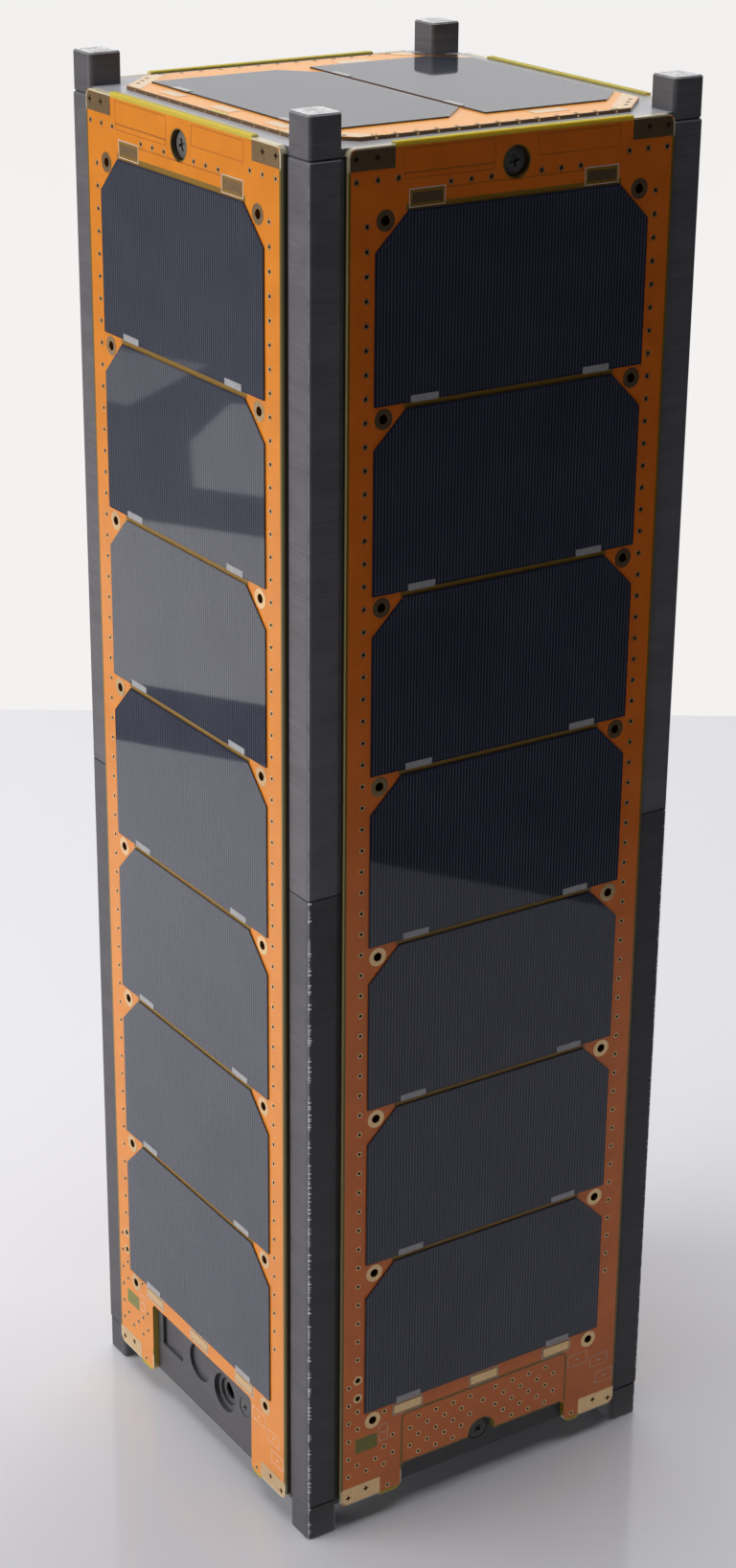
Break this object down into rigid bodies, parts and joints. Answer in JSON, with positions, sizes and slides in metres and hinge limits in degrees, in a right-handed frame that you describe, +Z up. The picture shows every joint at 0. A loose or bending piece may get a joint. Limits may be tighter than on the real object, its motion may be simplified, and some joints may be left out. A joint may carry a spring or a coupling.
{
  "type": "three-unit cube satellite mock-up",
  "caption": "Upright display model of a small box-shaped satellite with printed corner rails, orange solar boards on its sides and top, and square feet at both ends.",
  "frame": {"origin": "on the floor plane under the middle of the four lower feet", "axes": "+Z up along the long axis; -Y is the front side, with the closed board; -X is the left side, whose board is open at its lower end"},
  "size_m": [0.1028, 0.1028, 0.3405],
  "materials": {
    "printed_plastic": "matte with fine print layers",
    "circuit_board": "satin orange lacquer",
    "solar_cell": "glossy cover glass over dark blue cell",
    "gold_plating": "satin gold plating on pads and holes",
    "silver_tab": "satin silver ribbon",
    "screw_steel": "dark machined steel"
  },
  "bodies": {
    "root": {"base_cap": "printed_plastic", "top_cap": "printed_plastic", "frame_lower": "printed_plastic", "frame_upper": "printed_plastic", "board_front": "circuit_board", "cell_front_1": "solar_cell", "cell_front_2": "solar_cell", "cell_front_3": "solar_cell", "cell_front_4": "solar_cell", "cell_front_5": "solar_cell", "cell_front_6": "solar_cell", "cell_front_7": "solar_cell", "board_right": "circuit_board", "cell_right_1": "solar_cell", "cell_right_2": "solar_cell", "cell_right_3": "solar_cell", "cell_right_4": "solar_cell", "cell_right_5": "solar_cell", "cell_right_6": "solar_cell", "cell_right_7": "solar_cell", "board_rear": "circuit_board", "cell_rear_1": "solar_cell", "cell_rear_2": "solar_cell", "cell_rear_3": "solar_cell", "cell_rear_4": "solar_cell", "cell_rear_5": "solar_cell", "cell_rear_6": "solar_cell", "cell_rear_7": "solar_cell", "board_left": "circuit_board", "cell_left_1": "solar_cell", "cell_left_2": "solar_cell", "cell_left_3": "solar_cell", "cell_left_4": "solar_cell", "cell_left_5": "solar_cell", "cell_left_6": "solar_cell", "cell_left_7": "solar_cell", "board_top": "circuit_board", "cell_top_1": "solar_cell", "cell_top_2": "solar_cell"}
  },
  "joints": []
}
